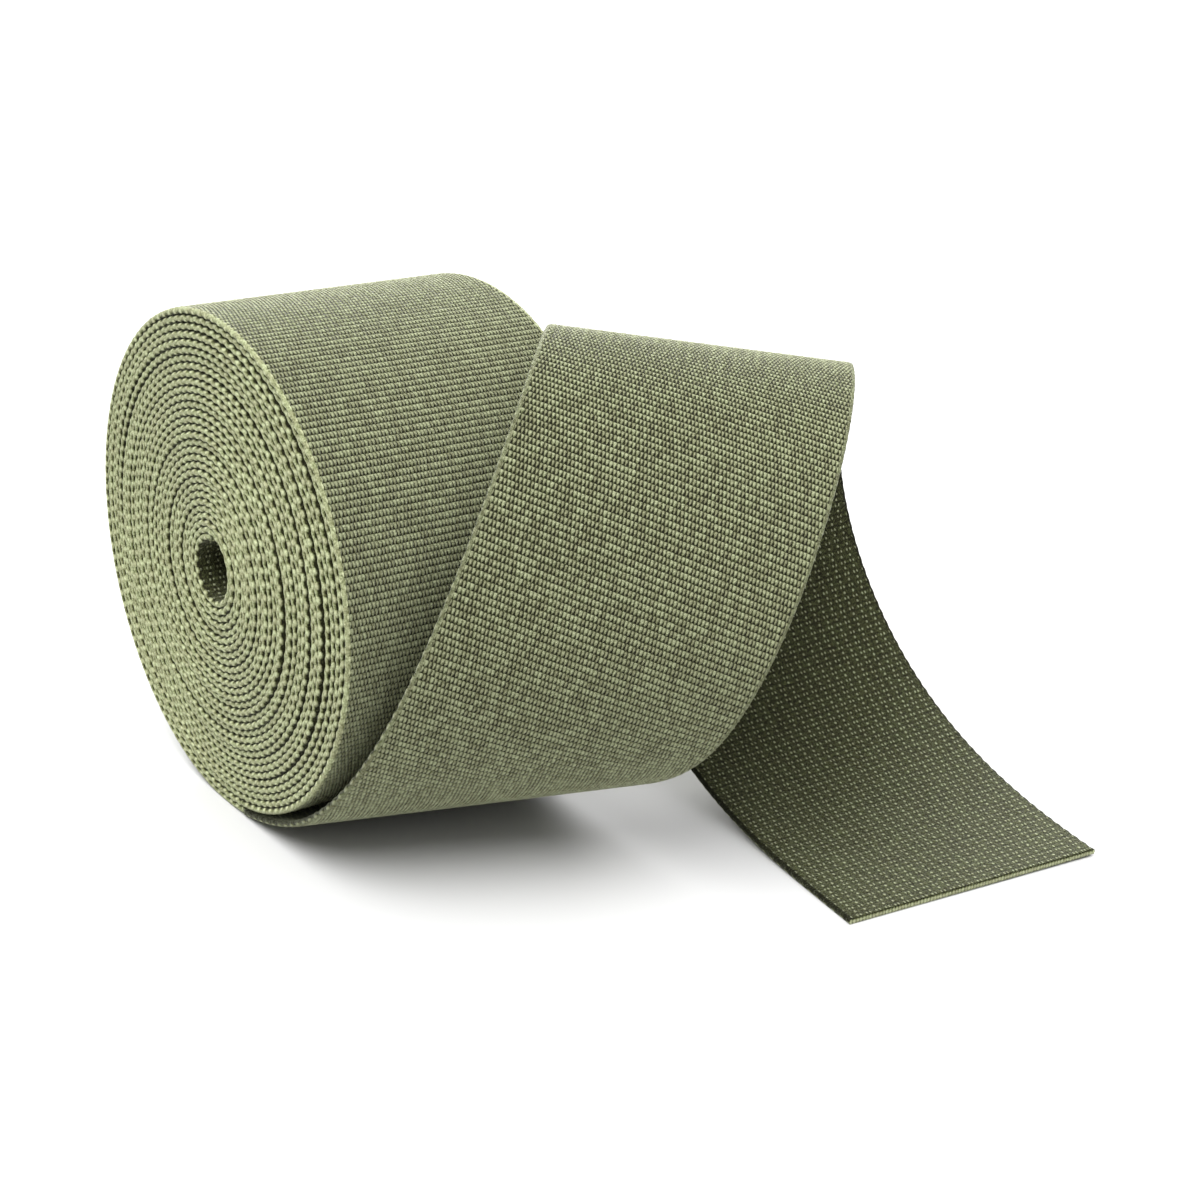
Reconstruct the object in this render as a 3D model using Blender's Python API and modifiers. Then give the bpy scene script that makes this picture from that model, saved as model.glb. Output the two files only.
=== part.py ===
"""Roll of webbing.

One long strip of olive webbing is wound on itself with no core. Its outer end has come off the
roll: it climbs in front, turns over beyond the right end, comes down behind and runs forward to
its cut edge on the ground. The roll lies along X, the front is at -Y, and the origin is the middle
of the narrow face on which the lowest turn is pressed flat.
"""

import math

import bmesh
import bpy
import numpy as np
from mathutils import Matrix

MM = 0.001

# The strip
WEBBING_WIDTH = 50.0 * MM
WEBBING_THICKNESS = 1.2 * MM

# The wound roll: angles start at the lowest line and grow towards the front, the way it is wound
ROLL_RADIUS = 42.15 * MM
AXIS_HEIGHT = 42.0 * MM
SEAM_ANGLE = math.radians(9.5)
OUTLINE_STEPS = 150
HUB_RADIUS = 4.6 * MM
HUB_Y = 2.0 * MM
HUB_Z = AXIS_HEIGHT - 1.1 * MM
HUB_END_ANGLE = math.radians(180.0)
HUB_STEPS = 30

# Turns that sit deeper than the rest leave rings in both ends of the roll
GROOVE_HALF_WIDTH = 0.55 * MM
GROOVE_STEPS = 66
GROOVE_LIFT = 0.05 * MM
# ring radius (mm), depth in the left end (mm), depth in the right end (mm)
GROOVES = (
    (15.8, 1.1, 0.8),
    (21.4, 0.7, 0.9),
    (26.2, 0.9, 0.7),
    (31.6, 1.3, 1.0),
    (35.4, 1.0, 1.2),
    (38.9, 0.7, 0.8),
)

# The loose end: bent from the flat strip without stretching it
LAYER_GAP = 0.33 * MM
LOOSE_LENGTH = 281.5 * MM
LOOSE_STEPS_ALONG = 100
LOOSE_STEPS_ACROSS = 10
BEND_STEPS = 1200
LET_DOWN_LENGTH = 90.0 * MM
CUT_EDGE_HEIGHT = 0.04 * MM
# distance along the middle (mm), bend per metre (rad), slant of the bending line (along / across)
LOOSE_BENDS = (
    (0.0, 2.0, 0.00),
    (14.0, 6.9, -0.42),
    (34.0, 23.5, -0.60),
    (60.0, 24.9, -0.45),
    (92.0, 19.2, -0.26),
    (125.0, 29.6, -0.27),
    (160.0, 30.5, -0.44),
    (200.0, 24.0, -0.21),
    (240.0, 13.6, -0.23),
    (281.5, 2.0, -0.28),
)

OLIVE = (0.235, 0.255, 0.150, 1.0)
CLOTH_ROUGHNESS = 0.85
SMOOTH_ANGLE = math.radians(30.0)


def empty_scene():
    for item in list(bpy.data.objects):
        bpy.data.objects.remove(item, do_unlink=True)


def new_collection(name):
    collection = bpy.data.collections.new(name)
    bpy.context.scene.collection.children.link(collection)
    return collection


def move_to_collection(item, collection):
    for old in list(item.users_collection):
        old.objects.unlink(item)
    collection.objects.link(item)


def webbing_material(name):
    material = bpy.data.materials.new(name)
    material.use_nodes = True
    shader = material.node_tree.nodes["Principled BSDF"]
    shader.inputs["Base Color"].default_value = OLIVE
    shader.inputs["Roughness"].default_value = CLOTH_ROUGHNESS
    shader.inputs["Metallic"].default_value = 0.0
    material.diffuse_color = OLIVE
    return material


def smooth(mesh):
    mesh.shade_smooth()
    mesh.set_sharp_from_angle(angle=SMOOTH_ANGLE)


def on_circle(angle, radius, middle_y, middle_z):
    """A point seen along X, at an angle that starts at the lowest line and grows forward."""
    return middle_y - radius * math.sin(angle), middle_z - radius * math.cos(angle)


def roll_outline():
    """The outer turn: it grows by one thickness in a turn, and is pressed flat at the bottom."""
    points = []
    for step in range(OUTLINE_STEPS + 1):
        turn = step / OUTLINE_STEPS
        angle = SEAM_ANGLE + 2.0 * math.pi * turn
        radius = ROLL_RADIUS - WEBBING_THICKNESS * (1.0 - turn)
        points.append(on_circle(angle, radius, 0.0, AXIS_HEIGHT))
    pressed = [index for index, point in enumerate(points) if point[1] < 0.0]
    heel = (points[pressed[0]][0], 0.0)
    toe = (points[pressed[-1]][0], 0.0)
    return points[:pressed[0]] + [heel, toe] + points[pressed[-1] + 1:]


def hub_outline():
    """The innermost turn, with a step of one thickness where the strip begins."""
    points = []
    for step in range(HUB_STEPS + 1):
        turn = step / HUB_STEPS
        angle = HUB_END_ANGLE + 2.0 * math.pi * turn
        points.append(on_circle(angle, HUB_RADIUS + WEBBING_THICKNESS * turn, HUB_Y, HUB_Z))
    return points


def add_outline(curve, points):
    line = curve.splines.new("POLY")
    line.points.add(len(points) - 1)
    line.use_cyclic_u = True
    for place, (across, up) in zip(line.points, points):
        place.co = (across, up, 0.0, 1.0)


def groove_cutter(name, radius, depth, end_x, collection):
    """A ring with a pointed section, half sunk in one end of the roll."""
    share = 1.0 - radius / ROLL_RADIUS
    bpy.ops.mesh.primitive_torus_add(
        major_radius=radius,
        minor_radius=GROOVE_HALF_WIDTH,
        major_segments=GROOVE_STEPS,
        minor_segments=4,
    )
    cutter = bpy.context.object
    cutter.name = name
    stretch = Matrix.Diagonal((1.0, 1.0, depth / GROOVE_HALF_WIDTH, 1.0))
    turn = Matrix.Rotation(math.pi / 2.0, 4, "Y")
    lift = math.copysign(GROOVE_LIFT, end_x)
    centre = (end_x + lift, HUB_Y * share, AXIS_HEIGHT + (HUB_Z - AXIS_HEIGHT) * share)
    cutter.data.transform(Matrix.Translation(centre) @ turn @ stretch)
    cutter.hide_render = True
    cutter.display_type = "WIRE"
    move_to_collection(cutter, collection)
    return cutter


def wound_roll(material, collection, cutters):
    """The roll as one solid: its spiral outline drawn out to the strip's width."""
    curve = bpy.data.curves.new("roll_outline", "CURVE")
    curve.dimensions = "2D"
    curve.fill_mode = "BOTH"
    curve.extrude = WEBBING_WIDTH / 2.0
    add_outline(curve, roll_outline())
    add_outline(curve, hub_outline())
    outline = bpy.data.objects.new("roll_outline", curve)
    collection.objects.link(outline)
    outline.rotation_euler = (math.pi / 2.0, 0.0, math.pi / 2.0)
    bpy.context.view_layer.update()

    mesh = bpy.data.meshes.new_from_object(outline.evaluated_get(bpy.context.evaluated_depsgraph_get()))
    mesh.transform(outline.matrix_world)
    bpy.data.objects.remove(outline, do_unlink=True)
    shell = bmesh.new()
    shell.from_mesh(mesh)
    bmesh.ops.remove_doubles(shell, verts=shell.verts, dist=0.00001)
    bmesh.ops.recalc_face_normals(shell, faces=shell.faces)
    shell.to_mesh(mesh)
    shell.free()
    mesh.name = "wound_roll"
    roll = bpy.data.objects.new("wound_roll", mesh)
    roll.data.materials.append(material)
    collection.objects.link(roll)

    half_width = WEBBING_WIDTH / 2.0
    for number, (radius, left_depth, right_depth) in enumerate(GROOVES, start=1):
        for side, depth, end_x in (("left", left_depth, -half_width), ("right", right_depth, half_width)):
            name = f"groove_{side}_{number}"
            cutter = groove_cutter(name, radius * MM, depth * MM, end_x, cutters)
            cut = roll.modifiers.new(name, "BOOLEAN")
            cut.operation = "DIFFERENCE"
            cut.object = cutter
    smooth(roll.data)
    return roll


def between_rows(distance, rows, column):
    """A smooth value between the rows of a table, read at many distances at once."""
    stations = np.array([row[0] for row in rows]) * MM
    values = np.array([row[column] for row in rows])
    slopes = np.gradient(values, stations)
    first = np.clip(np.searchsorted(stations, distance, side="right") - 1, 0, len(rows) - 2)
    span = stations[first + 1] - stations[first]
    part = (distance - stations[first]) / span
    start_weight = 2.0 * part**3 - 3.0 * part**2 + 1.0
    start_pull = part**3 - 2.0 * part**2 + part
    end_pull = part**3 - part**2
    return (
        start_weight * values[first]
        + start_pull * span * slopes[first]
        + (1.0 - start_weight) * values[first + 1]
        + end_pull * span * slopes[first + 1]
    )


def bend_middle_line():
    """Bends the strip's middle line, step by step, and returns its points and their directions."""
    start_angle = SEAM_ANGLE + LAYER_GAP / AXIS_HEIGHT
    start_radius = ROLL_RADIUS - WEBBING_THICKNESS / 2.0 + LAYER_GAP
    start_y, start_z = on_circle(start_angle, start_radius, 0.0, AXIS_HEIGHT)
    point = np.array([0.0, start_y, start_z])
    along = np.array([0.0, -math.cos(start_angle), math.sin(start_angle)])
    inward = np.array([0.0, math.sin(start_angle), math.cos(start_angle)])
    across = np.cross(along, inward)

    distance = np.linspace(0.0, LOOSE_LENGTH, BEND_STEPS + 1)
    middle = (distance[1:] + distance[:-1]) / 2.0
    bends = between_rows(middle, LOOSE_BENDS, 1)
    slants = between_rows(middle, LOOSE_BENDS, 2)
    step = LOOSE_LENGTH / BEND_STEPS
    points = [point]
    frames = [(along, inward, across)]
    for bend, slant in zip(bends, slants):
        axis = slant * along + across
        angle = bend * step * np.linalg.norm(axis)
        half_turn = np.array(Matrix.Rotation(angle / 2.0, 3, axis))
        point = point + step * (half_turn @ along)
        full_turn = half_turn @ half_turn
        along = full_turn @ along
        inward = full_turn @ inward
        across = full_turn @ across
        points.append(point)
        frames.append((along, inward, across))
    return distance, np.array(points), np.array(frames)


def bent_place(flat_along, flat_across):
    """Where each point of the flat strip lies once it is bent, and which way is inward there."""
    distance, points, frames = bend_middle_line()
    slants = between_rows(distance, LOOSE_BENDS, 2)
    bending_lines = frames[:, 2] + slants[:, None] * frames[:, 0]
    places = np.empty((len(flat_along), 3))
    inward = np.empty((len(flat_along), 3))
    for row_across in np.unique(flat_across):
        row = flat_across == row_across
        reached = distance + row_across * slants
        surface = points + row_across * bending_lines
        beyond = np.clip(flat_along[row] - reached[-1], 0.0, None)
        for axis in range(3):
            places[row, axis] = np.interp(flat_along[row], reached, surface[:, axis])
            inward[row, axis] = np.interp(flat_along[row], reached, frames[:, 1, axis])
        places[row] += beyond[:, None] * frames[-1, 0]
    return places, inward


def let_down(places, inward, flat_along):
    """Lets the last stretch down so that the whole cut edge touches the ground."""
    underside = places[:, 2] - inward[:, 2] * WEBBING_THICKNESS / 2.0
    at_end = flat_along > LOOSE_LENGTH - WEBBING_THICKNESS
    order = np.argsort(places[at_end, 0])
    height = np.interp(places[:, 0], places[at_end, 0][order], underside[at_end][order])
    share = np.clip((flat_along - LOOSE_LENGTH + LET_DOWN_LENGTH) / LET_DOWN_LENGTH, 0.0, 1.0)
    places[:, 2] -= (height - CUT_EDGE_HEIGHT) * share**2 * (3.0 - 2.0 * share)


def loose_end(material, collection):
    """The outer end of the strip, made flat at its full length and then bent."""
    bpy.ops.mesh.primitive_grid_add(
        x_subdivisions=LOOSE_STEPS_ALONG,
        y_subdivisions=LOOSE_STEPS_ACROSS,
        size=1.0,
    )
    strip = bpy.context.object
    strip.name = "loose_end"
    strip.data.name = "loose_end"
    flat = np.array([vertex.co[:] for vertex in strip.data.vertices])
    flat_along = (flat[:, 0] + 0.5) * LOOSE_LENGTH
    flat_across = np.round(flat[:, 1], 6) * WEBBING_WIDTH
    places, inward = bent_place(flat_along, flat_across)
    let_down(places, inward, flat_along)
    strip.data.vertices.foreach_set("co", places.ravel())
    strip.data.update()

    wall = strip.modifiers.new("thickness", "SOLIDIFY")
    wall.thickness = WEBBING_THICKNESS
    wall.offset = 0.0
    wall.use_even_offset = True
    strip.data.materials.append(material)
    smooth(strip.data)
    move_to_collection(strip, collection)
    return strip


empty_scene()
pieces = new_collection("roll_of_webbing")
groove_cutters = new_collection("groove_cutters")
wound_roll(webbing_material("wound_webbing"), pieces, groove_cutters)
loose_end(webbing_material("loose_webbing"), pieces)
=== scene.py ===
import math

import bpy
import numpy as np
from mathutils import Matrix, Vector


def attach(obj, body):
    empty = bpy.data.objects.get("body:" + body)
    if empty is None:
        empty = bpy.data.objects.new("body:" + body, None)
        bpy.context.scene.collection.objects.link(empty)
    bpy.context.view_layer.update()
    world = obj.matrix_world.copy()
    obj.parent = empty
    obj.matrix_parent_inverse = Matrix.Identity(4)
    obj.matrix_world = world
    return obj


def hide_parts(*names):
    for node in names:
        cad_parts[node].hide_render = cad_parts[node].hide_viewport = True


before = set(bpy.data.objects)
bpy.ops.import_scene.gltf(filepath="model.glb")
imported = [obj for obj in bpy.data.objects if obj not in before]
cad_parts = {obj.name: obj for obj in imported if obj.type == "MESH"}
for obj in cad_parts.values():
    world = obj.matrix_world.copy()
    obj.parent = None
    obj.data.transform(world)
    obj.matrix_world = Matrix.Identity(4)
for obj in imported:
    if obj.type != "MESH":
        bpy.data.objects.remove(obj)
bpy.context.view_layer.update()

bpy.ops.object.select_all(action="DESELECT")


# The turns between the first and the last, wound tightly on each other: about 28 of them.
# Each is the same strip of woven olive webbing, with a looped selvedge along both edges.
# Only the edges show, so each half of the width is one closed band that ends at the middle of the roll.
MM = 0.001
STRIP_WIDTH = 50.0 * MM
STRIP_THICKNESS = 1.2 * MM
ROLL_RADIUS = 42.15 * MM
AXIS_HEIGHT = 42.0 * MM
SEAM_ANGLE = math.radians(9.5)            # all angles start at the lowest line and grow towards the front
HUB_END_ANGLE = math.radians(180.0)
FIRST_RADIUS = 5.2 * MM                   # middle of the strip's thickness at its inner cut end
LAST_RADIUS = ROLL_RADIUS - STRIP_THICKNESS / 2.0
TURNS = 31.0 + (SEAM_ANGLE - HUB_END_ANGLE) / math.tau
PITCH = (LAST_RADIUS - FIRST_RADIUS) / TURNS
ROW_PITCH = 1.075 * MM                    # one row of the weave
LINK_LENGTH = 2.0 * ROW_PITCH             # one loop of the selvedge takes two rows
BEADS = 80                                # beads of the weave across the width
BEAD_WIDTH = STRIP_WIDTH / BEADS

CENTRE_SHIFT = (   # radius of a turn, how far its middle lies to the back, and how far below the axis (mm)
    (5.2, 2.0, 1.1), (10.0, 2.1, 1.35), (15.9, 2.2, 1.4), (21.0, 2.1, 1.3), (26.0, 1.8, 1.1),
    (31.0, 1.4, 0.85), (35.5, 1.0, 0.6), (41.5, 0.0, 0.0),
)
LOOSE_GAPS = (     # radius of the turn outside the gap, width of the gap (mm), middle and half of its arc (degrees)
    (16.0, 0.50, 100.0, 100.0), (16.0, 0.40, 300.0, 90.0), (21.2, 0.50, 105.0, 85.0),
    (24.7, 0.60, 115.0, 90.0), (26.9, 0.20, 100.0, 60.0), (27.7, 0.15, 290.0, 60.0),
    (29.1, 0.50, 110.0, 70.0), (31.9, 0.70, 103.0, 95.0), (35.6, 0.75, 95.0, 95.0),
    (34.1, 0.55, 262.0, 75.0), (36.3, 0.40, 245.0, 60.0), (37.3, 0.30, 100.0, 60.0), (38.4, 0.35, 115.0, 60.0),
    (40.1, 0.35, 100.0, 80.0),
)


def wound_middle_line(first_turn, last_turn, steps):
    """Length from the start, points and outward directions of the wound strip, seen from the end of the roll."""
    wound = np.linspace(first_turn, last_turn, steps + 1) * math.tau
    angle = HUB_END_ANGLE + wound
    radius = FIRST_RADIUS + PITCH * wound / math.tau
    shift = np.array(CENTRE_SHIFT) * MM
    back = np.interp(radius, shift[:, 0], shift[:, 1])
    down = np.interp(radius, shift[:, 0], shift[:, 2])
    for gap_radius, gap, middle, half_arc in LOOSE_GAPS:
        from_middle = (angle - math.radians(middle) + math.pi) % math.tau - math.pi
        passing = FIRST_RADIUS + PITCH * (wound - from_middle) / math.tau
        share = np.clip(np.abs(from_middle) / math.radians(half_arc), 0.0, 1.0)
        opening = gap * MM * 0.5 * (1.0 + np.cos(math.pi * share))
        packed = (passing - FIRST_RADIUS) / (LAST_RADIUS - FIRST_RADIUS)
        radius = radius + opening * ((passing > gap_radius * MM) - packed)
    points = np.stack([back - radius * np.sin(angle), AXIS_HEIGHT - down - radius * np.cos(angle)], axis=1)
    tangent = np.gradient(points, axis=0)
    tangent /= np.linalg.norm(tangent, axis=1)[:, None]
    outward = np.stack([tangent[:, 1], -tangent[:, 0]], axis=1) * -1.0
    step = np.linalg.norm(np.diff(points, axis=0), axis=1)
    return np.concatenate([[0.0], np.cumsum(step)]), points, outward


LINK_SLANT = 0.10        # in links: how far a link leans along the edge
OUTER_BUMP_AT = 0.30     # place of the outer and the inner bump along a link
INNER_BUMP_AT = 0.80


def selvedge_height(side, along):
    """How far a selvedge stands out of its round: bumps by turns on its outer and inner side (1 and -1)."""
    phase = (along / LINK_LENGTH + LINK_SLANT * side) % 1.0
    from_outer = np.abs(phase - OUTER_BUMP_AT)
    from_inner = np.abs(phase - INNER_BUMP_AT)
    outer_bump = np.exp(-((np.minimum(from_outer, 1.0 - from_outer) / 0.20) ** 2))
    inner_bump = np.exp(-((np.minimum(from_inner, 1.0 - from_inner) / 0.18) ** 2))
    outer_side = np.clip(2.0 * side, 0.0, 1.0)
    inner_side = np.clip(-2.0 * side, 0.0, 1.0)
    outward = 0.10 * outer_bump - 0.05 * inner_bump
    inward = 0.05 * inner_bump - 0.10 * outer_bump
    return (0.02 + outer_side * outward + inner_side * inward) * MM


def lay_grid(name, steps_along, steps_round):
    """A flat grid whose vertices are then placed; gives each vertex's share of the way along and round."""
    bpy.ops.object.select_all(action="DESELECT")
    bpy.ops.mesh.primitive_grid_add(x_subdivisions=steps_along, y_subdivisions=steps_round, size=1.0)
    strip = bpy.context.object
    strip.name = name
    strip.data.name = name
    flat = np.zeros(len(strip.data.vertices) * 3)
    strip.data.vertices.foreach_get("co", flat)
    flat = flat.reshape(-1, 3) + 0.5
    return strip, np.rint(flat[:, 0] * steps_along).astype(int), np.rint(flat[:, 1] * steps_round).astype(int)


def close_strip(strip, places, face_weave, edge_weave, round_it, edge_columns, inside_columns, yarns):
    """Places the vertices, keeps flat coordinates for the yarns, joins the long edges and fills the cut ends."""
    mesh = strip.data
    mesh.vertices.foreach_set("co", places.astype(np.float32).ravel())
    corners = np.zeros(len(mesh.loops), dtype=np.int32)
    mesh.loops.foreach_get("vertex_index", corners)
    column = round_it[corners].reshape(-1, 4).min(axis=1)
    on_edge = np.isin(column, edge_columns)
    corner_on_edge = np.repeat(on_edge, 4)[:, None]
    weave = np.where(corner_on_edge, edge_weave[corners], face_weave[corners])
    mesh.uv_layers[0].name = "weave"
    mesh.uv_layers[0].data.foreach_set("uv", weave.astype(np.float32).ravel())
    for yarn in yarns:
        mesh.materials.append(yarn)
    inside = np.isin(column, inside_columns)
    mesh.polygons.foreach_set("material_index", (on_edge + 3 * inside).astype(np.int32))
    mesh.update()
    bpy.ops.object.mode_set(mode="EDIT")
    bpy.ops.mesh.select_all(action="SELECT")
    bpy.ops.mesh.remove_doubles(threshold=0.0000005)
    bpy.ops.mesh.select_all(action="SELECT")
    bpy.ops.mesh.fill_holes(sides=0)
    bpy.ops.mesh.select_all(action="SELECT")
    bpy.ops.mesh.normals_make_consistent(inside=False)
    bpy.ops.object.mode_set(mode="OBJECT")
    bpy.ops.object.shade_smooth()
    for face in mesh.polygons:
        if face.loop_total > 4:
            face.material_index = 2
            face.use_smooth = False
            rim = np.array([mesh.vertices[vertex].co for vertex in face.vertices])
            rim -= rim.mean(axis=0)
            long_way = np.linalg.svd(rim, full_matrices=False)[2]
            for corner, place in zip(face.loop_indices, rim):
                weave_place = (place @ long_way[0] / BEAD_WIDTH, place @ long_way[1] / STRIP_THICKNESS)
                mesh.uv_layers[0].data[corner].uv = weave_place


# Yarn colours by height: the darkest is painted shade in the hollows, the palest is the yarn's pale tips with a
# painted highlight.
SHADE_PAINTED_OLIVE = (0.011, 0.011, 0.003, 1.0)
MIDDLE_OLIVE = (0.104, 0.115, 0.046, 1.0)
PALE_TIP_HIGHLIGHT_OLIVE = (0.395, 0.415, 0.250, 1.0)
SHEEN_TINT = (0.86, 0.91, 0.66, 1.0)
FIBRE_SCALE = 3200.0
DRIFT_SCALE = 420.0
PATCH_SCALE = 70.0
GRAIN_DEPTH = 0.3 * MM


def olive_yarn(name, pattern, brightness):
    """Olive yarn: pale tips with a painted highlight, painted shade between the threads, a fine fibre grain, uneven
    threads, a soft sheen.
    """
    material = bpy.data.materials.new(name)
    material.use_nodes = True
    nodes, links = material.node_tree.nodes, material.node_tree.links
    shader = nodes["Principled BSDF"]
    shader.inputs["Roughness"].default_value = 0.55
    shader.inputs["Specular IOR Level"].default_value = 0.10
    shader.inputs["Sheen Weight"].default_value = 0.42
    shader.inputs["Sheen Roughness"].default_value = 0.30
    shader.inputs["Sheen Tint"].default_value = SHEEN_TINT

    def number(operation, a, b=None, c=None):
        node = nodes.new("ShaderNodeMath")
        node.operation = operation
        for socket, value in zip(node.inputs, (a, b, c)):
            if value is None:
                continue
            if isinstance(value, (int, float)):
                socket.default_value = value
            else:
                links.new(value, socket)
        return node.outputs[0]

    def noise(scale, detail):
        node = nodes.new("ShaderNodeTexNoise")
        node.inputs["Scale"].default_value = scale
        node.inputs["Detail"].default_value = detail
        links.new(nodes.new("ShaderNodeTexCoord").outputs["Object"], node.inputs["Vector"])
        return node.outputs["Fac"]

    def chance(column, row):
        pair = nodes.new("ShaderNodeCombineXYZ")
        links.new(column, pair.inputs[0])
        links.new(row, pair.inputs[1])
        node = nodes.new("ShaderNodeTexWhiteNoise")
        node.noise_dimensions = "2D"
        links.new(pair.outputs[0], node.inputs["Vector"])
        return node.outputs["Value"]

    fibre = noise(FIBRE_SCALE, 2.0)
    patch = noise(PATCH_SCALE, 3.0)
    drift = number("SUBTRACT", noise(DRIFT_SCALE, 1.0), 0.5)
    flat = nodes.new("ShaderNodeUVMap")
    flat.uv_map = "weave"
    split = nodes.new("ShaderNodeSeparateXYZ")
    links.new(flat.outputs["UV"], split.inputs[0])
    height, uneven = pattern(number, chance, split.outputs["X"], split.outputs["Y"], drift)
    grain = number("MULTIPLY_ADD", number("SUBTRACT", fibre, 0.5), 1.00, height)
    # The colour follows the height: the low parts are painted shade, the tops are pale with a painted highlight.
    colours = nodes.new("ShaderNodeValToRGB")
    stops = colours.color_ramp.elements
    stops[0].position, stops[0].color = 0.04, SHADE_PAINTED_OLIVE
    stops[1].position, stops[1].color = 1.0, PALE_TIP_HIGHLIGHT_OLIVE
    stops.new(0.42).color = MIDDLE_OLIVE
    links.new(grain, colours.inputs["Fac"])
    tone = nodes.new("ShaderNodeHueSaturation")
    links.new(colours.outputs["Color"], tone.inputs["Color"])
    value = number("MULTIPLY_ADD", patch, 0.14, number("MULTIPLY_ADD", uneven, 0.26, 0.80))
    links.new(number("MULTIPLY", value, brightness), tone.inputs["Value"])
    links.new(number("MULTIPLY_ADD", uneven, 0.020, 0.490), tone.inputs["Hue"])
    links.new(tone.outputs["Color"], shader.inputs["Base Color"])
    bump = nodes.new("ShaderNodeBump")
    bump.inputs["Strength"].default_value = 1.0
    bump.inputs["Distance"].default_value = GRAIN_DEPTH
    links.new(grain, bump.inputs["Height"])
    links.new(bump.outputs["Normal"], shader.inputs["Normal"])
    return material


def hill(number, along, across, top):
    """A round hill: top at its middle, less the squares of two distances counted in half widths."""
    fall = number("ADD", number("POWER", along, 2.0), number("POWER", across, 2.0))
    return number("SUBTRACT", top, fall)


def selvedge_links(number, chance, across, along, drift):
    """A chain along the edge: a middle strand with bumps by turns outside and inside it, and dark slots between
    them, painted shade under the bumps.
    """
    side = number("MULTIPLY_ADD", across, 2.0, -1.0)
    place = number("MULTIPLY_ADD", drift, 0.12, number("MULTIPLY_ADD", side, LINK_SLANT, along))
    link = number("FLOOR", place)
    phase = number("SUBTRACT", place, link)
    from_outer = number("ABSOLUTE", number("SUBTRACT", phase, OUTER_BUMP_AT))
    from_outer = number("MINIMUM", from_outer, number("SUBTRACT", 1.0, from_outer))
    from_inner = number("ABSOLUTE", number("SUBTRACT", phase, INNER_BUMP_AT))
    from_inner = number("MINIMUM", from_inner, number("SUBTRACT", 1.0, from_inner))
    off_outer = number("DIVIDE", number("SUBTRACT", side, 0.45), 0.52)
    off_inner = number("DIVIDE", number("ADD", side, 0.42), 0.54)
    outer = hill(number, number("DIVIDE", from_outer, 0.36), off_outer, 1.02)
    inner = hill(number, number("DIVIDE", from_inner, 0.34), off_inner, 0.97)
    strand = number("SUBTRACT", 0.60, number("POWER", number("DIVIDE", side, 0.80), 2.0))
    height = number("MAXIMUM", number("MAXIMUM", number("MAXIMUM", outer, inner), strand), 0.0)
    return number("POWER", height, 0.75), chance(link, number("FLOOR", number("ADD", place, 0.45)))


def bead_rows(number, chance, across, along, drift):
    """Rows of beads, wide above and pointed below, half a bead aside by turns; each third bead is bigger."""
    along = number("MULTIPLY_ADD", drift, 0.12, along)
    across = number("MULTIPLY_ADD", drift, -0.16, across)
    row = number("FLOOR", along)
    up = number("SUBTRACT", along, row)
    column = number("MULTIPLY_ADD", number("MODULO", row, 2.0), 0.5, across)
    bead = number("FLOOR", column)
    aside = number("SUBTRACT", number("SUBTRACT", column, bead), 0.5)
    big = number("LESS_THAN", number("ABSOLUTE", number("MODULO", bead, 3.0)), 0.5)
    uneven = chance(bead, row)
    size = number("MULTIPLY_ADD", uneven, 0.10, number("MULTIPLY_ADD", big, 0.10, 0.26))
    half_width = number("MULTIPLY_ADD", up, 0.32, size)
    up = number("SUBTRACT", number("SUBTRACT", up, 0.58), number("MULTIPLY", uneven, 0.08))
    height = hill(number, number("DIVIDE", up, 0.70), number("DIVIDE", aside, half_width),
                  number("MULTIPLY_ADD", uneven, 0.16, 0.90))
    return number("POWER", number("MAXIMUM", height, 0.0), 0.75), uneven


def inside_dots(number, chance, across, along, drift):
    """The inside of the strip: sunk yarns painted dark as painted shade, with a pale dot in one row and a pair of
    small ones in the next.
    """
    along = number("MULTIPLY_ADD", drift, 0.20, along)
    row = number("FLOOR", along)
    up = number("SUBTRACT", number("SUBTRACT", along, row), 0.5)
    column = number("DIVIDE", number("MULTIPLY_ADD", drift, 0.40, across), 3.0)
    dot = number("FLOOR", column)
    aside = number("ABSOLUTE", number("SUBTRACT", number("SUBTRACT", column, dot), 0.5))
    paired = number("ABSOLUTE", number("MODULO", row, 2.0))
    aside = number("ABSOLUTE", number("SUBTRACT", aside, number("MULTIPLY", paired, 0.18)))
    half_width = number("MULTIPLY_ADD", paired, -0.03, 0.10)
    pale = hill(number, number("DIVIDE", up, 0.21), number("DIVIDE", aside, half_width), 1.80)
    slanted = number("SINE", number("MULTIPLY", number("MULTIPLY_ADD", along, 0.55, across), 12.0))
    # The sunk ground takes the dark colours of the ramp: painted shade.
    sunk = number("MULTIPLY_ADD", slanted, 0.08, number("MULTIPLY_ADD", number("ABSOLUTE", up), -0.22, 0.19))
    return number("MAXIMUM", number("MAXIMUM", pale, sunk), 0.0), chance(dot, row)


def yarn_ends(number, chance, across, along, drift):
    """A cut end: the round ends of the yarns, pale and close together, in two layers."""
    column = number("MULTIPLY_ADD", drift, 0.6, across)
    yarn = number("FLOOR", column)
    aside = number("SUBTRACT", number("SUBTRACT", column, yarn), 0.5)
    layer = number("SUBTRACT", number("ABSOLUTE", along), 0.22)
    height = hill(number, number("DIVIDE", layer, 0.45), number("DIVIDE", aside, 0.75), 1.0)
    return number("MAXIMUM", height, 0.0), chance(yarn, number("SIGN", along))


# The selvedge yarn is made twice from one yarn: a brighter copy for the roll's end faces (painted light) and a
# darker copy for the loose end's edges (painted shade).
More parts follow.
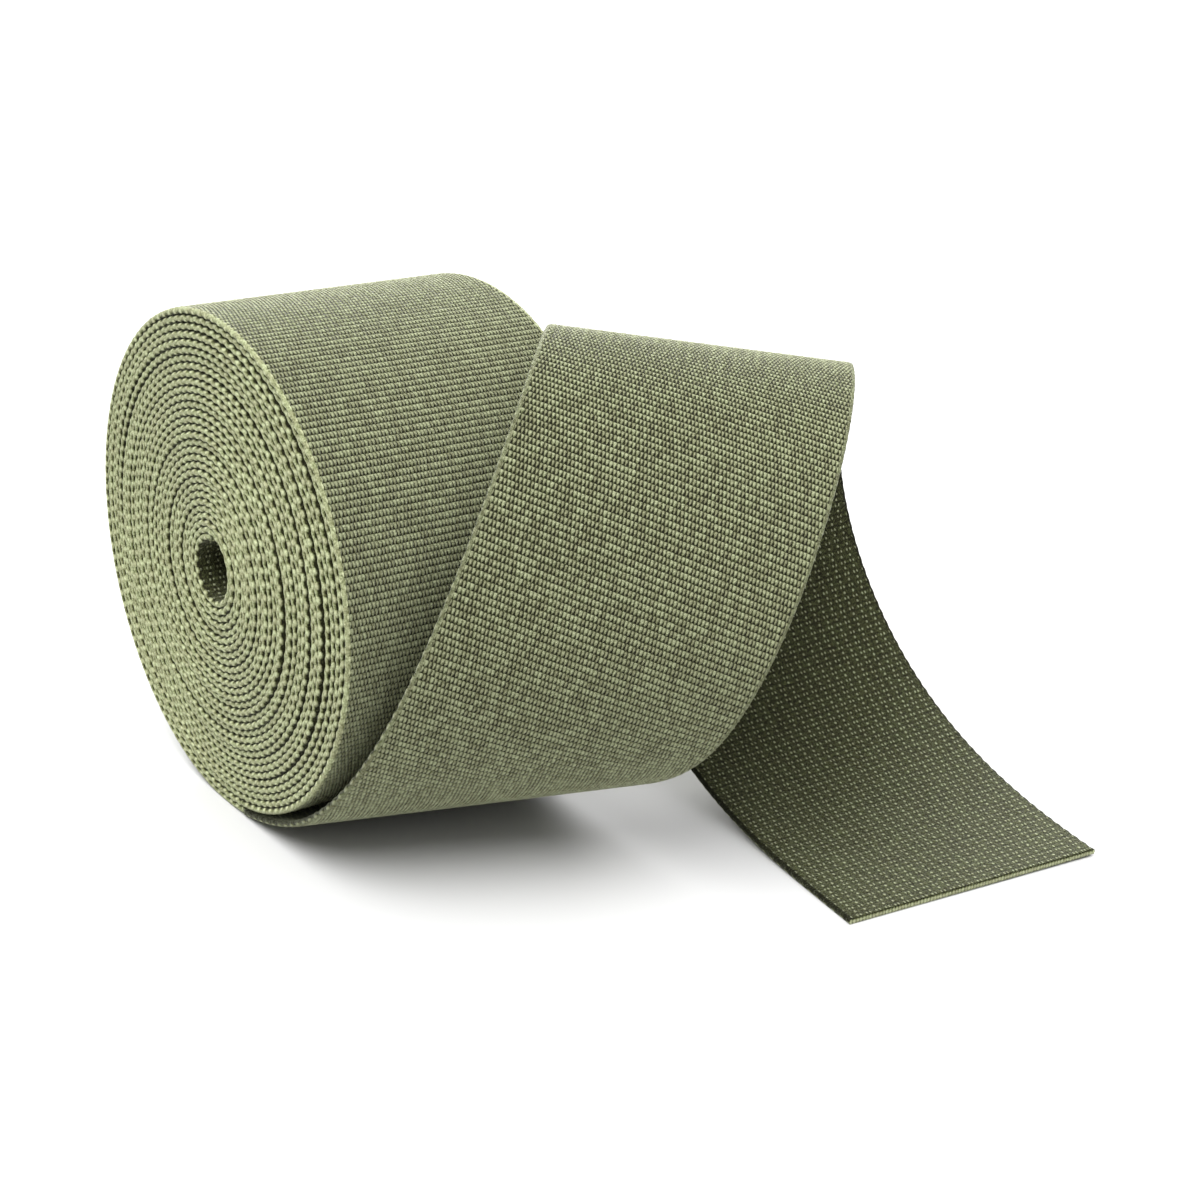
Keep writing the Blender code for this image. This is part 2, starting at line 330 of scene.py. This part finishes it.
WEAVE_YARN = olive_yarn("olive_weave", bead_rows, 0.82)
LIT_SELVEDGE_YARN = olive_yarn("olive_selvedge_painted_light", selvedge_links, 1.32)
SHADED_LOOSE_EDGE_YARN = olive_yarn("olive_loose_edge_painted_shade", selvedge_links, 0.66)
CUT_YARN = olive_yarn("olive_cut_ends", yarn_ends, 1.15)
INSIDE_YARN = olive_yarn("olive_inside", inside_dots, 0.96)
BAND_THICKNESS = 1.10 * MM
MIDDLE_THICKNESS = 2.1 * MM                # deep inside, neighbouring turns close the gaps between them
EDGE_DEPTH = 0.6 * MM
MIDDLE_GAP = 0.05 * MM                    # from each half to the middle of the roll
BAND_FACE_STEPS = 4
BAND_STEPS_PER_LINK = 6
BAND_LINE_STEPS = 24000
FIRST_BAND_TURN = 1.02
LAST_BAND_TURN = TURNS - 1.0


def wander(station):
    """Slow unevenness of the winding: an edge stands a little in or out along the strip."""
    return 0.12 * MM * np.sin(station * 61.0) + 0.10 * MM * np.sin(station * 23.0 + 1.0) - 0.12 * MM


def wind_band(name, side):
    """The edge of the wound turns on one side, as a closed band from the edge to the middle of the roll."""
    length, points, outward = wound_middle_line(FIRST_BAND_TURN, LAST_BAND_TURN, BAND_LINE_STEPS)
    steps = int(round(length[-1] / LINK_LENGTH * BAND_STEPS_PER_LINK))
    strip, along, round_it = lay_grid(name, steps, BAND_FACE_STEPS + 3)
    station = along / steps * length[-1]
    point = np.stack([np.interp(station, length, points[:, k]) for k in (0, 1)], axis=1)
    out = np.stack([np.interp(station, length, outward[:, k]) for k in (0, 1)], axis=1)
    on_face = (round_it >= 1) & (round_it <= BAND_FACE_STEPS + 1)
    share = (round_it - 1) / BAND_FACE_STEPS
    across_edge = np.where(on_face, 2.0 * share - 1.0, 0.0)
    height = np.where(on_face, selvedge_height(across_edge, station), 0.0)
    turned = across_edge * math.pi / 2.0
    inner_side = (round_it == 0) | (round_it == BAND_FACE_STEPS + 3)
    flank = np.where(inner_side, -1.0, 1.0) * MIDDLE_THICKNESS / 2.0
    depth = np.where(on_face, (BAND_THICKNESS / 2.0 + height) * np.sin(turned), flank)
    edge = STRIP_WIDTH / 2.0 - EDGE_DEPTH + wander(station)
    across = np.where(on_face, edge + (EDGE_DEPTH + height) * np.cos(turned), MIDDLE_GAP)
    places = np.stack([side * across, point[:, 0] + depth * out[:, 0], point[:, 1] + depth * out[:, 1]], axis=1)
    weave = np.stack([share, station / LINK_LENGTH], axis=1)
    close_strip(strip, places, weave, weave, round_it, [], [], (LIT_SELVEDGE_YARN, LIT_SELVEDGE_YARN, CUT_YARN))
    return strip


turns_left = wind_band("wound_turns_left", -1.0)
turns_right = wind_band("wound_turns_right", 1.0)
for half in (turns_left, turns_right):
    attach(half, "root")


# The last wound turn, whose outer face shows all round the roll.
# It is the strip at its full width: rows of beads in the weave, and looped selvedges at both edges.
# It ends at the seam under the roll, where the loose end carries on from it.
FACE_STEPS = 2 * BEADS
EDGE_STEPS = 4
PLAIN_STEPS = 12
TURN_LINE_STEPS = 4000
BETWEEN_ROWS = -0.22 * MM     # heights of the weave
BESIDE_BEADS = -0.07 * MM
BIG_BEADS = 0.04 * MM
SMALL_BEADS = -0.01 * MM
INSIDE_FACE = -0.10 * MM
ROW_LEAN = 0.06               # in rows: how far the crest of a row lies past its middle
WOUND_EDGE_FALL = 0.68        # share of the selvedge's yarn pattern that goes round an edge


def bead_height(beads_across, rows_along):
    """Height of the weave at a grid vertex: crests at the beads' middles, hollows beside them and between rows."""
    between = np.abs(rows_along - np.rint(rows_along)) < 0.01
    column = beads_across + 0.5 * (np.floor(rows_along + 0.01) % 2)
    beside = np.abs(column - np.rint(column)) < 0.05
    big = (np.floor(column + 0.01) % 3) == 0
    return np.select([between, beside, big], [BETWEEN_ROWS, BESIDE_BEADS, BIG_BEADS], SMALL_BEADS)


def weave_strip(name, length, rows, outer_steps, inner_steps, edge_fall, lay):
    """A closed strip of webbing in its woven relief; lay(along, across) gives its middle and inward side."""
    around = outer_steps + inner_steps + 2 * EDGE_STEPS
    strip, half_rows, round_it = lay_grid(name, 2 * rows, around)
    rows_along = half_rows / 2.0
    station = (rows_along + ROW_LEAN * (half_rows % 2)) / rows * length
    left, inside, right = outer_steps, outer_steps + EDGE_STEPS, outer_steps + EDGE_STEPS + inner_steps
    outer = round_it <= left
    inner = (round_it >= inside) & (round_it <= right)
    on_left = (round_it > left) & (round_it < inside)
    on_right = round_it > right
    left_share = (round_it - left) / EDGE_STEPS
    right_share = 1.0 - (round_it - right) / EDGE_STEPS
    edge_share = np.where(round_it <= inside, left_share, right_share)
    flat_half = STRIP_WIDTH / 2.0 - STRIP_THICKNESS / 2.0
    across = np.select([outer, on_left, inner], [
        flat_half * (2.0 * round_it / left - 1.0), flat_half,
        flat_half * (1.0 - 2.0 * (round_it - inside) / inner_steps)], -flat_half)
    beads_across = across / flat_half * BEADS / 2.0
    on_edges = (on_left | on_right) & (round_it < around)     # the last column lies on the first
    relief = np.select([on_edges, inner], [
        selvedge_height(0.6 - 1.6 * edge_share, station), INSIDE_FACE], bead_height(beads_across, rows_along))
    reach = STRIP_THICKNESS / 2.0 + relief
    turned = (2.0 * edge_share - 1.0) * math.pi / 2.0
    out_across = np.select([on_left, on_right], [np.cos(turned), -np.cos(turned)], 0.0)
    out_depth = np.select([outer, inner], [-1.0, 1.0], np.sin(turned))
    places, inward = lay(station, across + reach * out_across)
    places = places + inward * (reach * out_depth)[:, None]
    on_floor = places[:, 2] < 0.0
    places[on_floor, 2] = 0.0
    edge_columns = list(range(left, inside)) + list(range(right, around))
    face_weave = np.stack([beads_across, rows_along], axis=1)
    edge_weave = np.stack([0.70 - edge_fall * edge_share, station / LINK_LENGTH], axis=1)
    return strip, places, station, (face_weave, edge_weave, round_it, edge_columns, list(range(inside, right)))


def finish_turn(strip, places, flat, edge_yarn):
    """Closes a strip that belongs to the roll."""
    close_strip(strip, places, *flat, (WEAVE_YARN, edge_yarn, CUT_YARN, INSIDE_YARN))
    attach(strip, "root")


def wind_turn(name, start_turn, end_turn, outer_steps, inner_steps):
    """One wound turn at the full width; across grows to the left end."""
    length, points, outward = wound_middle_line(start_turn, end_turn, TURN_LINE_STEPS)

    def lay(station, across):
        point = np.stack([np.interp(station, length, points[:, k]) for k in (0, 1)], axis=1)
        out = np.stack([np.interp(station, length, outward[:, k]) for k in (0, 1)], axis=1)
        places = np.stack([-across, point[:, 0], point[:, 1]], axis=1)
        return places, np.stack([np.zeros(len(station)), -out[:, 0], -out[:, 1]], axis=1)

    rows = int(round(length[-1] / ROW_PITCH))
    return weave_strip(name, length[-1], rows, outer_steps, inner_steps, WOUND_EDGE_FALL, lay)


last_turn, places, station, flat = wind_turn("last_turn", TURNS - 1.0, TURNS, FACE_STEPS, 2)
finish_turn(last_turn, places, flat, LIT_SELVEDGE_YARN)
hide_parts("wound_roll")


# The first turn, round the small open middle: the inner cut end of the strip, bent as tightly as it goes.
# Only its inner face shows, through the hole.
first_turn, places, station, flat = wind_turn("first_turn", 0.0, FIRST_BAND_TURN, 2, PLAIN_STEPS)
finish_turn(first_turn, places, flat, LIT_SELVEDGE_YARN)


# The loose end: the outer end of the same strip, cut square, that has sprung off the roll.
# It rises in front of the roll, curls over and comes down on the floor beside it, turned a little to the right.
LAYER_GAP = 0.33 * MM
LOOSE_LENGTH = 281.5 * MM
BEND_STEPS = 1200
LET_DOWN_LENGTH = 90.0 * MM
CUT_EDGE_HEIGHT = 0.04 * MM
LOOSE_EDGE_SHADE_FALL = 1.25        # past the selvedge's pattern, so the inner half of the loose edge is dark: painted shade of the narrow gap beside the roll
LOOSE_BENDS = (    # distance along the middle (mm), bend per metre (rad), slant of the bending line
    (0.0, 2.0, 0.00), (14.0, 6.9, -0.42), (34.0, 23.5, -0.60), (60.0, 24.9, -0.45), (92.0, 19.2, -0.26),
    (125.0, 29.6, -0.27), (160.0, 30.5, -0.44), (200.0, 24.0, -0.21), (240.0, 13.6, -0.23), (281.5, 2.0, -0.28),
)


def between_rows(distance, rows, column):
    """A smooth curve through one column of a table whose first column is a distance in millimetres."""
    stations = np.array([row[0] for row in rows]) * MM
    values = np.array([row[column] for row in rows])
    slopes = np.gradient(values, stations)
    first = np.clip(np.searchsorted(stations, distance, side="right") - 1, 0, len(rows) - 2)
    span = stations[first + 1] - stations[first]
    part = (distance - stations[first]) / span
    start_weight = 2.0 * part**3 - 3.0 * part**2 + 1.0
    start_pull = part**3 - 2.0 * part**2 + part
    end_pull = part**3 - part**2
    return (start_weight * values[first] + start_pull * span * slopes[first]
            + (1.0 - start_weight) * values[first + 1] + end_pull * span * slopes[first + 1])


def bend_middle_line():
    """Bends the strip's middle line step by step, each step turning about its own slanted bending line."""
    start_angle = SEAM_ANGLE + LAYER_GAP / AXIS_HEIGHT
    start_radius = ROLL_RADIUS - STRIP_THICKNESS / 2.0 + LAYER_GAP
    start_height = AXIS_HEIGHT - start_radius * math.cos(start_angle)
    point = np.array([0.0, -start_radius * math.sin(start_angle), start_height])
    along = np.array([0.0, -math.cos(start_angle), math.sin(start_angle)])
    inward = np.array([0.0, math.sin(start_angle), math.cos(start_angle)])
    across = np.cross(along, inward)
    distance = np.linspace(0.0, LOOSE_LENGTH, BEND_STEPS + 1)
    middle = (distance[1:] + distance[:-1]) / 2.0
    bends = between_rows(middle, LOOSE_BENDS, 1)
    slants = between_rows(middle, LOOSE_BENDS, 2)
    step = LOOSE_LENGTH / BEND_STEPS
    points = [point]
    frames = [(along, inward, across)]
    for bend, slant in zip(bends, slants):
        axis = slant * along + across
        angle = bend * step * np.linalg.norm(axis)
        half_turn = np.array(Matrix.Rotation(angle / 2.0, 3, Vector(axis)))
        point = point + step * (half_turn @ along)
        full_turn = half_turn @ half_turn
        along, inward, across = full_turn @ along, full_turn @ inward, full_turn @ across
        points.append(point)
        frames.append((along, inward, across))
    return distance, np.array(points), np.array(frames)


bend_distance, bend_points, bend_frames = bend_middle_line()
bend_slants = between_rows(bend_distance, LOOSE_BENDS, 2)


def lay_loose_end(station, across):
    """Bends flat cloth coordinates with the strip: a straight line across it stays on its own bending line."""
    places = np.zeros((len(station), 3))
    inward = np.zeros((len(station), 3))
    for value in np.unique(np.round(across, 8)):
        chosen = np.abs(across - value) < 0.6e-8
        reached = bend_distance + value * bend_slants
        surface = bend_points + value * (bend_frames[:, 2] + bend_slants[:, None] * bend_frames[:, 0])
        flat = station[chosen]
        for k in range(3):
            places[chosen, k] = np.interp(flat, reached, surface[:, k])
            inward[chosen, k] = np.interp(flat, reached, bend_frames[:, 1, k])
        beyond = np.maximum(flat - reached[-1], 0.0)
        before = np.minimum(flat - reached[0], 0.0)
        places[chosen] += beyond[:, None] * bend_frames[-1, 0] + before[:, None] * bend_frames[0, 0]
    return places, inward


loose_rows = int(round(LOOSE_LENGTH / ROW_PITCH))
loose_strip, places, station, flat = weave_strip(
    "loose_strip", LOOSE_LENGTH, loose_rows, FACE_STEPS, PLAIN_STEPS, LOOSE_EDGE_SHADE_FALL, lay_loose_end)
lowered = np.clip((station - (LOOSE_LENGTH - LET_DOWN_LENGTH)) / LET_DOWN_LENGTH, 0.0, 1.0)
end_low = places[station > LOOSE_LENGTH - 0.01 * MM, 2].min()
places[:, 2] -= (end_low - CUT_EDGE_HEIGHT) * lowered**2 * (3.0 - 2.0 * lowered)
places[:, 2] = np.maximum(places[:, 2], 0.0)
finish_turn(loose_strip, places, flat, SHADED_LOOSE_EDGE_YARN)
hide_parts("loose_end")


# A plain pale floor, soft light mostly from above, and the camera where the picture was taken.
bpy.ops.object.select_all(action="DESELECT")
bpy.ops.mesh.primitive_plane_add(size=6.0, location=(0.0, 0.0, 0.0))
floor = bpy.context.object
floor.name = "floor"
floor_paint = bpy.data.materials.new("pale_floor")
floor_paint.use_nodes = True
paint = floor_paint.node_tree.nodes["Principled BSDF"]
paint.inputs["Base Color"].default_value = (0.60, 0.60, 0.60, 1.0)
paint.inputs["Roughness"].default_value = 0.9
floor.data.materials.append(floor_paint)

world = bpy.data.worlds.new("studio")
world.use_nodes = True
sky, sky_links = world.node_tree.nodes, world.node_tree.links
direction = sky.new("ShaderNodeTexCoord")
height = sky.new("ShaderNodeSeparateXYZ")
sky_links.new(direction.outputs["Generated"], height.inputs[0])
overhead = sky.new("ShaderNodeMath")
overhead.operation = "POWER"
sky_links.new(height.outputs["Z"], overhead.inputs[0])
overhead.inputs[1].default_value = 2.5
dome = sky.new("ShaderNodeMapRange")
dome.inputs["To Min"].default_value = 0.25
dome.inputs["To Max"].default_value = 2.2
sky_links.new(overhead.outputs[0], dome.inputs["Value"])
sky_links.new(dome.outputs["Result"], sky["Background"].inputs["Strength"])
sky["Background"].inputs["Color"].default_value = (1.0, 1.0, 1.0, 1.0)
bpy.context.scene.world = world
bpy.context.scene.view_settings.view_transform = "Standard"

SOFTBOXES = (   # name, where it stands, strength and how wide it looks (radians)
    ("overhead_softbox", (-0.35, -0.10, 0.90), 3.2, 0.9),
    ("back_softbox", (0.40, 0.80, 0.42), 3.5, 0.7),
)
for lamp_name, place, strength, width in SOFTBOXES:
    bpy.ops.object.light_add(type="SUN", location=place)
    lamp = bpy.context.object
    lamp.name = lamp_name
    lamp.data.energy = strength
    lamp.data.angle = width
    lamp.rotation_euler = (-lamp.location).to_track_quat("-Z", "Y").to_euler()

camera_data = bpy.data.cameras.new("camera")
camera = bpy.data.objects.new("camera", camera_data)
bpy.context.scene.collection.objects.link(camera)
camera_data.lens = 61.05
camera_data.sensor_width = 36.0
camera_data.clip_start = 0.01
right = Vector((0.79719389, -0.60216476, 0.04335322))
up = Vector((0.1990213, 0.3299173, 0.92279201))
back = Vector((-0.56997581, -0.72701594, 0.38285167))
turned = Matrix((right, up, back)).transposed().to_4x4()
camera.matrix_world = Matrix.Translation((-0.16285, -0.27586, 0.16459)) @ turned
bpy.context.scene.camera = camera
